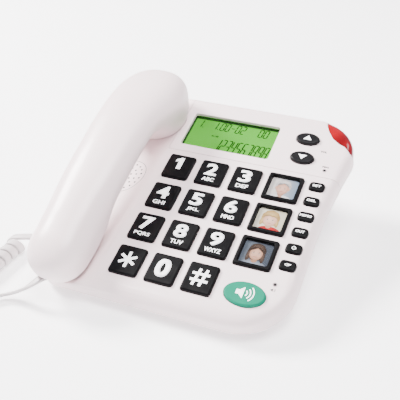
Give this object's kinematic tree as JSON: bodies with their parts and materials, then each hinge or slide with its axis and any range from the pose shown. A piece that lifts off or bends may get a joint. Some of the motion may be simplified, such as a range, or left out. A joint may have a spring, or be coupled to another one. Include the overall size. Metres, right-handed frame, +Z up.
{
  "type": "corded desk telephone",
  "caption": "Corded desk telephone with large keys, three picture keys, a tilted display and a handset in a side cradle, joined by a coiled cord.",
  "frame": {"origin": "centre of the telephone's plan on the table, without the free cord", "axes": "+X to the user's right, +Y away from the user, +Z up; the deck slopes up towards +Y"},
  "size_m": [0.2228, 0.3119, 0.0959],
  "materials": {
    "warm_white_plastic": "satin, fine texture",
    "black_key_plastic": "semi-gloss",
    "charcoal_key_plastic": "satin",
    "teal_key_plastic": "semi-gloss",
    "clear_acrylic": "polished",
    "display_green": "lit panel",
    "red_lens": "polished, tinted",
    "circuit_board": "solder mask",
    "rubber": "matte",
    "silicone_mat": "matte",
    "steel": "zinc plated",
    "cord_jacket": "satin",
    "plug_polycarbonate": "clear, moulded",
    "lamp_lens": "diffuse"
  },
  "bodies": {
    "base": {"base_top_cover": "warm_white_plastic", "base_bottom_cover": "warm_white_plastic", "display_fascia": "warm_white_plastic", "display_window": "clear_acrylic", "lcd_panel": "display_green", "ring_lamp_lens": "red_lens", "message_lamp": "lamp_lens", "speaker_lamp": "lamp_lens", "key_mat": "silicone_mat", "main_board": "circuit_board", "handset_cord_jack": "black_key_plastic", "line_jack": "black_key_plastic", "foot_front_left": "rubber", "foot_front_right": "rubber", "foot_rear_left": "rubber", "foot_rear_right": "rubber", "loudspeaker": "black_key_plastic", "plug_base": "plug_polycarbonate", "cord_coil": "cord_jacket", "cord_tail_base": "cord_jacket", "cord_tail_handset": "cord_jacket"},
    "handset": {"handset_back_shell": "warm_white_plastic", "handset_front_shell": "warm_white_plastic", "earpiece": "black_key_plastic", "microphone": "steel", "handset_weight": "steel", "handset_jack": "black_key_plastic", "plug_handset": "plug_polycarbonate"},
    "hook": {"hook_plunger": "warm_white_plastic"},
    "ringer": {"ringer_switch": "black_key_plastic"},
    "door": {"battery_door": "warm_white_plastic"},
    "key_1": {"key_1": "black_key_plastic"},
    "key_2": {"key_2": "black_key_plastic"},
    "key_3": {"key_3": "black_key_plastic"},
    "key_4": {"key_4": "black_key_plastic"},
    "key_5": {"key_5": "black_key_plastic"},
    "key_6": {"key_6": "black_key_plastic"},
    "key_7": {"key_7": "black_key_plastic"},
    "key_8": {"key_8": "black_key_plastic"},
    "key_9": {"key_9": "black_key_plastic"},
    "key_star": {"key_star": "black_key_plastic"},
    "key_0": {"key_0": "black_key_plastic"},
    "key_hash": {"key_hash": "black_key_plastic"},
    "picture_key_1": {"picture_key_1": "black_key_plastic", "picture_cover_1": "clear_acrylic"},
    "picture_key_2": {"picture_key_2": "black_key_plastic", "picture_cover_2": "clear_acrylic"},
    "picture_key_3": {"picture_key_3": "black_key_plastic", "picture_cover_3": "clear_acrylic"},
    "function_key_1": {"function_key_1": "black_key_plastic"},
    "function_key_2": {"function_key_2": "black_key_plastic"},
    "function_key_3": {"function_key_3": "black_key_plastic"},
    "function_key_4": {"function_key_4": "black_key_plastic"},
    "function_key_5": {"function_key_5": "black_key_plastic"},
    "function_key_6": {"function_key_6": "black_key_plastic"},
    "arrow_key_up": {"arrow_key_up": "charcoal_key_plastic"},
    "arrow_key_down": {"arrow_key_down": "charcoal_key_plastic"},
    "speaker_key": {"speaker_key": "teal_key_plastic"}
  },
  "joints": [
    {"name": "handset_lift", "type": "slide", "parent": "base", "child": "handset", "axis": [0, -0.2924, 0.9563], "range_m": [0, 0.05]},
    {"name": "hook_rise", "type": "slide", "parent": "base", "child": "hook", "axis": [0, -0.2924, 0.9563], "range_m": [0, 0.005]},
    {"name": "key_1_press", "type": "slide", "parent": "base", "child": "key_1", "axis": [0, 0.2924, -0.9563], "range_m": [0, 0.0015], "stiffness_N_per_m": 700, "springref_m": -0.0006},
    {"name": "key_2_press", "type": "slide", "parent": "base", "child": "key_2", "axis": [0, 0.2924, -0.9563], "range_m": [0, 0.0015], "stiffness_N_per_m": 700, "springref_m": -0.0006},
    {"name": "key_3_press", "type": "slide", "parent": "base", "child": "key_3", "axis": [0, 0.2924, -0.9563], "range_m": [0, 0.0015], "stiffness_N_per_m": 700, "springref_m": -0.0006},
    {"name": "key_4_press", "type": "slide", "parent": "base", "child": "key_4", "axis": [0, 0.2924, -0.9563], "range_m": [0, 0.0015], "stiffness_N_per_m": 700, "springref_m": -0.0006},
    {"name": "key_5_press", "type": "slide", "parent": "base", "child": "key_5", "axis": [0, 0.2924, -0.9563], "range_m": [0, 0.0015], "stiffness_N_per_m": 700, "springref_m": -0.0006},
    {"name": "key_6_press", "type": "slide", "parent": "base", "child": "key_6", "axis": [0, 0.2924, -0.9563], "range_m": [0, 0.0015], "stiffness_N_per_m": 700, "springref_m": -0.0006},
    {"name": "key_7_press", "type": "slide", "parent": "base", "child": "key_7", "axis": [0, 0.2924, -0.9563], "range_m": [0, 0.0015], "stiffness_N_per_m": 700, "springref_m": -0.0006},
    {"name": "key_8_press", "type": "slide", "parent": "base", "child": "key_8", "axis": [0, 0.2924, -0.9563], "range_m": [0, 0.0015], "stiffness_N_per_m": 700, "springref_m": -0.0006},
    {"name": "key_9_press", "type": "slide", "parent": "base", "child": "key_9", "axis": [0, 0.2924, -0.9563], "range_m": [0, 0.0015], "stiffness_N_per_m": 700, "springref_m": -0.0006},
    {"name": "key_star_press", "type": "slide", "parent": "base", "child": "key_star", "axis": [0, 0.2924, -0.9563], "range_m": [0, 0.0015], "stiffness_N_per_m": 700, "springref_m": -0.0006},
    {"name": "key_0_press", "type": "slide", "parent": "base", "child": "key_0", "axis": [0, 0.2924, -0.9563], "range_m": [0, 0.0015], "stiffness_N_per_m": 700, "springref_m": -0.0006},
    {"name": "key_hash_press", "type": "slide", "parent": "base", "child": "key_hash", "axis": [0, 0.2924, -0.9563], "range_m": [0, 0.0015], "stiffness_N_per_m": 700, "springref_m": -0.0006},
    {"name": "picture_key_1_press", "type": "slide", "parent": "base", "child": "picture_key_1", "axis": [0, 0.2924, -0.9563], "range_m": [0, 0.0015], "stiffness_N_per_m": 700, "springref_m": -0.0006},
    {"name": "picture_key_2_press", "type": "slide", "parent": "base", "child": "picture_key_2", "axis": [0, 0.2924, -0.9563], "range_m": [0, 0.0015], "stiffness_N_per_m": 700, "springref_m": -0.0006},
    {"name": "picture_key_3_press", "type": "slide", "parent": "base", "child": "picture_key_3", "axis": [0, 0.2924, -0.9563], "range_m": [0, 0.0015], "stiffness_N_per_m": 700, "springref_m": -0.0006},
    {"name": "function_key_1_press", "type": "slide", "parent": "base", "child": "function_key_1", "axis": [0, 0.2924, -0.9563], "range_m": [0, 0.001], "stiffness_N_per_m": 500, "springref_m": -0.0006},
    {"name": "function_key_2_press", "type": "slide", "parent": "base", "child": "function_key_2", "axis": [0, 0.2924, -0.9563], "range_m": [0, 0.001], "stiffness_N_per_m": 500, "springref_m": -0.0006},
    {"name": "function_key_3_press", "type": "slide", "parent": "base", "child": "function_key_3", "axis": [0, 0.2924, -0.9563], "range_m": [0, 0.001], "stiffness_N_per_m": 500, "springref_m": -0.0006},
    {"name": "function_key_4_press", "type": "slide", "parent": "base", "child": "function_key_4", "axis": [0, 0.2924, -0.9563], "range_m": [0, 0.001], "stiffness_N_per_m": 500, "springref_m": -0.0006},
    {"name": "function_key_5_press", "type": "slide", "parent": "base", "child": "function_key_5", "axis": [0, 0.2924, -0.9563], "range_m": [0, 0.001], "stiffness_N_per_m": 500, "springref_m": -0.0006},
    {"name": "function_key_6_press", "type": "slide", "parent": "base", "child": "function_key_6", "axis": [0, 0.2924, -0.9563], "range_m": [0, 0.001], "stiffness_N_per_m": 500, "springref_m": -0.0006},
    {"name": "arrow_key_up_press", "type": "slide", "parent": "base", "child": "arrow_key_up", "axis": [0, 0.2924, -0.9563], "range_m": [0, 0.001], "stiffness_N_per_m": 700, "springref_m": -0.0006},
    {"name": "arrow_key_down_press", "type": "slide", "parent": "base", "child": "arrow_key_down", "axis": [0, 0.2924, -0.9563], "range_m": [0, 0.001], "stiffness_N_per_m": 700, "springref_m": -0.0006},
    {"name": "speaker_key_press", "type": "slide", "parent": "base", "child": "speaker_key", "axis": [0, 0.2924, -0.9563], "range_m": [0, 0.0015], "stiffness_N_per_m": 700, "springref_m": -0.0006},
    {"name": "ringer_slide", "type": "slide", "parent": "base", "child": "ringer", "axis": [1, 0, 0], "range_m": [-0.0025, 0.0025]},
    {"name": "battery_door_off", "type": "slide", "parent": "base", "child": "door", "axis": [0, 0, -1], "range_m": [0, 0.02]}
  ],
  "couplings": [
    {"joint": "hook_rise", "follows": "handset_lift", "ratio": 0.1}
  ]
}
